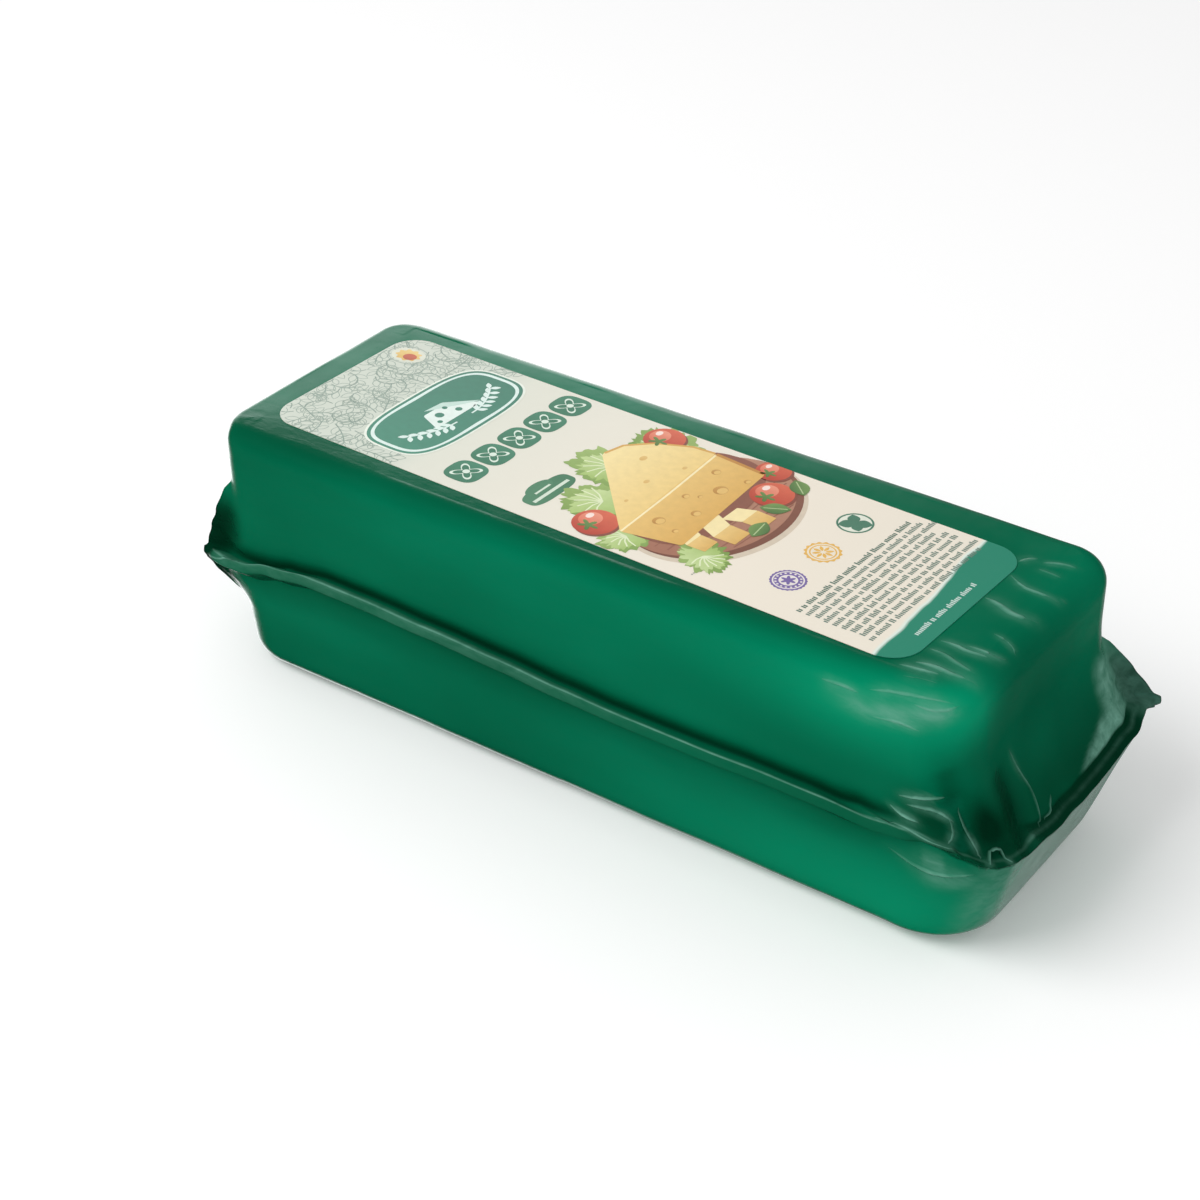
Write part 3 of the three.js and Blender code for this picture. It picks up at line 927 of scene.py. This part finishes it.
def ruffled_leaf(place, size, codes, seed, turn, level):
    """A frilled salad leaf: a dark and a pale layer of the blade, a rib and its veins."""
    u, v = place
    blot(picture, place, (size, size * 0.82), codes, level, ruffle(seed, 0.3), turn, sides=90)
    blot(picture, (u + 0.6, v - 0.4), (size * 0.8, size * 0.62), "A6C26E C6D99A", level + 1,
         ruffle(seed + 5, 0.36), turn + 0.3, sides=90)
    for j in range(7):
        lean = turn + (j - 3) * 0.42
        stroke(picture, [(u, v), (u - cos(lean) * size * 0.35, v - sin(lean) * size * 0.3),
                         (u - cos(lean + 0.15) * size * 0.72, v - sin(lean + 0.15) * size * 0.6)],
               0.55, "E2ECC4", level + 2)


LEAVES = [((0, -17), 14, 0.5), ((-11, 3), 14.5, 0.1), ((-3, 23), 15, -0.6), ((19, -30), 10, 1.2),
          ((46, -25), 10, 2.6)]
LEAF_GREENS = ["7C9C4C 98B466", "86A656 A4BE72"]
for i, (place, size, turn) in enumerate(LEAVES):
    ruffled_leaf(place, size, LEAF_GREENS[i % 2], 3.1 * i + 1, turn, 4)


def small_tomato(place, size, level):
    """A round red fruit with a sheen and a green star of sepals."""
    u, v = place
    blot(picture, (u + 1.2, v - 0.5), size, "8A5040", level, sides=36)
    blot(picture, place, size, "B8402F DB6C50", level + 1, sides=36)
    for back, right, tall, wide, codes, raised, outline, sides in [
            (0.32, 0.1, 0.5, 0.55, "DE7358 EC9A80", 2, round_outline, 28),
            (0.5, 0.3, 0.16, 0.22, "FBE3D8", 3, round_outline, 16),
            (0.1, -0.35, 0.5, 0.42, "56783A 6F9250", 3, petals(5, 0.66), 50)]:
        blot(picture, (u - size * back, v + size * right), (size * tall, size * wide), codes,
             level + raised, outline, sides=sides)


small_tomato((6, -29), 7.8, 7)
small_tomato((-8, 29), 7.4, 7)

# the wedge: its rind side, its top and its cut face with round holes in it
blot(picture, (22, 3), (19, 31), "8E5A48", 7, pillow(2.6), 0.1, sides=64)
panel(picture, [(16, -29), (-19, 8), (-17, 17), (-9, 25), (3, 31), (12, 31)], "F7E3A6 EFCF85", 8, 1.4)
panel(picture, [(15.6, -29), (11.6, 31.2), (33, 29.5), (37, -24)], "E9C478 DDAE5C", 9, 1.2)
stroke(picture, [(16, -28.6), (14.6, 0), (12.4, 30.4)], 0.8, "FBEBBB", 10)
stroke(picture, [(12.2, 31), (32.6, 29.4)], 1.5, "C58D45", 10)
stroke(picture, [(-18.6, 9), (-16.6, 17), (-9, 24.6), (3, 30.4), (11.6, 31.2)], 1.1, "D9A95A", 10)
for u, v, size in [(22, -16, 2.4), (29, -5, 1.9), (20, 2, 1.5), (27, 12, 2.8), (19, 21, 1.8),
                   (31, 22, 1.4), (30, -18, 1.3), (24, 4.5, 1.0)]:
    blot(picture, (u, v), (size * 0.9, size), "C08B42 CF9F55", 10, sides=24)
    blot(picture, (u + size * 0.25, v), (size * 0.6, size * 0.75), "E6BF73", 11, sides=20)
for u, v, size in [(4, 2, 1.3), (-6, 14, 1.7), (9, 17, 1.1), (6, -12, 0.9)]:
    blot(picture, (u, v), (size * 0.7, size), "DDB468 E6C27C", 10, sides=20)


def cheese_cube(u, v, size, lean):
    """A cube of cheese seen from above its front: top, front and one side."""
    back, front, half = u - size * 0.7, u + size * 0.85, size * 0.5
    panel(picture, [(back, v - half + lean), (back, v + half + lean), (u, v + half), (u, v - half)],
          "F8E6AE", 8, 0.4)
    panel(picture, [(u, v - half), (u, v + half), (front, v + size * 0.46), (front, v - size * 0.46)],
          "EBC880 DFB365", 9, 0.4)
    turned = half if lean < 0 else -half
    panel(picture, [(u, v + turned), (back, v + turned + lean), (u + size * 0.1, v + turned + lean),
                    (front, v + turned * 0.92)], "CE9D50", 7, 0.3)


cheese_cube(42, -9, 9.5, 3)
cheese_cube(44, 4, 9, -2.6)
cheese_cube(38, -19, 8, 2.5)
small_tomato((42, 20), 7.6, 7)
small_tomato((34, 33), 6.2, 7)
for place, turn in [((48, 13), 0.5), ((47, 29), -0.7), ((51, -1), 1.7)]:
    blot(picture, place, (5.2, 3.4), "4F7440 7A9C58", 11, leaf_outline, turn, sides=30)
    heading = Vector((cos(turn), sin(turn)))
    stroke(picture, [Vector(place) - heading * 4, Vector(place) + heading * 4], 0.4, "B9CC98", 12)
printed("still_life_print", picture)

# Three round seals in violet, orange and green
seals = print_layer()
VIOLET, ORANGE, LEAF_GREEN = (75.2, -20.8), (74.9, -0.3), (73.6, 21)
blot(seals, VIOLET, 6.1, "7B6AA6", 1, petals(24, 0.05), sides=96)
blot(seals, VIOLET, 5.2, "EAE3DF", 2, hollow=0.5, sides=40)
for i in range(16):
    blot(seals, beside(VIOLET, i * pi / 8, 4.1), 0.42, "EAE3DF", 2, sides=8)
blot(seals, VIOLET, 3.1, "EAE3DF", 2, sides=36)
blot(seals, VIOLET, 2.6, "7B6AA6", 3, petals(6, 0.5), sides=60)
blot(seals, ORANGE, 6.3, "E9B95F", 1, petals(16, 0.1), sides=96)
blot(seals, ORANGE, 5.1, "F0E6D2", 2, sides=40)
blot(seals, ORANGE, 4.5, "E9B95F", 3, hollow=0.5, sides=40)
for i in range(8):
    turn = i * pi / 4
    blot(seals, beside(ORANGE, turn, 2.2), (1.5, 0.62), "E9B95F", 3, leaf_outline, turn, sides=16)
blot(seals, LEAF_GREEN, 6.2, "4F8069", 1, hollow=0.7, sides=48)
blot(seals, LEAF_GREEN, 6.2, "E6EADB", 0, sides=48)
for turn, size in [(0.4, 3.0), (2.3, 2.7), (3.9, 3.0), (5.5, 2.4)]:
    blot(seals, beside(LEAF_GREEN, turn, 2.7), (size, size * 0.8), "4F8069", 1, leaf_outline, turn,
         sides=20)
printed("round_seals_print", seals)

# Small type, drawn as upright dashes in word lengths: nine lines, a finer one by the picture, and a
# pale one on the green right end
small_type = print_layer()
DASH_WIDTH, DASH_STEP, WORD_GAP = 0.64, 0.95, 0.9
LINE_STEP = 3.25


def line_of_dashes(u, start, end, tall, code):
    v = start
    while v < end:
        for _ in range(chance.randint(2, 9)):
            height = tall * chance.choice((0.7, 0.7, 0.8, 1.0))
            stroke(small_type, [(u, v), (u - height, v)], DASH_WIDTH, code, 1)
            v += DASH_STEP
        v += WORD_GAP


for i in range(9):
    start = -34 + chance.uniform(0, 1.5)
    end = chance.uniform(24, 32) if i in (3, 6) else 32.5
    line_of_dashes(88.2 + i * LINE_STEP, start, end, 2.1, "73887C" if i else "587668")
line_of_dashes(49.5, -36, -23, 0.9, "A9ADA0")
line_of_dashes(123.6, -23, 13, 2.0, "C9DFD6")
printed("small_type_print", small_type)


# ------------------------ floor, light, camera
# A wide pale floor, an even white studio round it, and one soft light from the left and front.

floor_material = new_material("pale_floor")
surface(floor_material, in_Roughness=0.9, in_Specular_IOR_Level=0.1, in_Base_Color=(0.93, 0.93, 0.93, 1),
        in_Emission_Color=(1, 1, 1, 1), in_Emission_Strength=0.14)
ground = bmesh.new()
bmesh.ops.create_grid(ground, x_segments=1, y_segments=1, size=4)
floor_mesh = bpy.data.meshes.new("floor")
ground.to_mesh(floor_mesh)
ground.free()
floor_mesh.materials.append(floor_material)
floor = bpy.data.objects.new("floor", floor_mesh)
scene.collection.objects.link(floor)
floor.visible_glossy = False

studio = bpy.data.worlds.new("studio")
scene.world = studio
studio.use_nodes = True
studio.node_tree.nodes.clear()
way_seen = node(studio, "TexCoord").outputs["Generated"]
heading_seen = node(studio, "SeparateXYZ", {"Vector": way_seen}).outputs


def fade(axis, start, end, at_start, at_end):
    """A soft step in the mirrored room along one axis of the direction looked in."""
    return ranged(studio, heading_seen[axis], start, end, at_start, at_end,
                  interpolation_type="SMOOTHSTEP")


# what the film and the label mirror: a white sweep low down behind on the left, and soft panels
from_left = fade("X", -0.58, -0.34, 2.0, 0.0)
from_behind = fade("Y", 0.2, 0.45, 0.0, 1.0)
from_low = fade("Z", 0.43, 0.52, 1.0, 0.06)
sweep_side = reckon(studio, "MULTIPLY", {0: from_left, 1: from_behind})
white_sweep = reckon(studio, "MULTIPLY", {0: sweep_side, 1: from_low})


def soft_panel(way, rim, core, strength, behind):
    """A soft-edged round light in the mirrored room, added to what is there already. Its rim and
    its core are cosines of the angle off its way."""
    nearness = node(studio, "VectorMath", {0: way_seen}, operation="DOT_PRODUCT")
    nearness.inputs[1].default_value = Vector(way).normalized()
    panel_light = ranged(studio, nearness.outputs["Value"], rim, core, 0.0, strength,
                         interpolation_type="SMOOTHSTEP")
    return reckon(studio, "ADD", {0: panel_light, 1: behind})


mirrored = soft_panel((-0.2, 0.78, -0.6), 0.82, 1.0, 0.36, white_sweep)
mirrored = soft_panel((-0.78, 0.4, -0.48), 0.9, 0.99, 0.45, mirrored)
mirrored = soft_panel((0.62, -0.62, 0.48), 0.9, 0.96, 0.6, mirrored)
mirrored = soft_panel((0, -0.3, 1), 0.4, 0.9, 0.05, mirrored)
ray = node(studio, "LightPath")
room = node(studio, "Background", in_Color=(1, 1, 1, 1), in_Strength=0.62)
gleam = node(studio, "Background", {"Strength": mirrored}, in_Color=(1, 1, 1, 1))
seen = node(studio, "MixShader", {0: ray.outputs["Is Glossy Ray"], 1: room.outputs["Background"],
                                  2: gleam.outputs["Background"]})
node(studio, "OutputWorld", {"Surface": seen.outputs["Shader"]})

softbox = bpy.data.lights.new("softbox", "AREA")
softbox.shape = "RECTANGLE"
softbox.size, softbox.size_y = 1.6, 1.2
softbox.energy = 26
lamp = bpy.data.objects.new("softbox", softbox)
lamp.location = (-0.8, -1.1, 1.6)
towards_loaf = Vector((0, 0, 0.05)) - lamp.location
lamp.rotation_euler = towards_loaf.to_track_quat("-Z", "Y").to_euler()
lamp.visible_glossy = False
scene.collection.objects.link(lamp)

CAMERA_PITCH, CAMERA_YAW = radians(32.89), radians(-35.27)
CAMERA_AIM = Vector((-22.8, 0.9, 45)) * MM
CAMERA_DISTANCE = 876 * MM
lens = bpy.data.cameras.new("camera")
lens.lens, lens.sensor_width = 75.66, 36
camera = bpy.data.objects.new("camera", lens)
look = Vector((sin(CAMERA_YAW) * cos(CAMERA_PITCH),
               cos(CAMERA_YAW) * cos(CAMERA_PITCH), -sin(CAMERA_PITCH)))
camera.location = CAMERA_AIM - look * CAMERA_DISTANCE
camera.rotation_euler = look.to_track_quat("-Z", "Y").to_euler()
scene.collection.objects.link(camera)
bpy.context.scene.camera = camera
scene.view_settings.view_transform = "Standard"
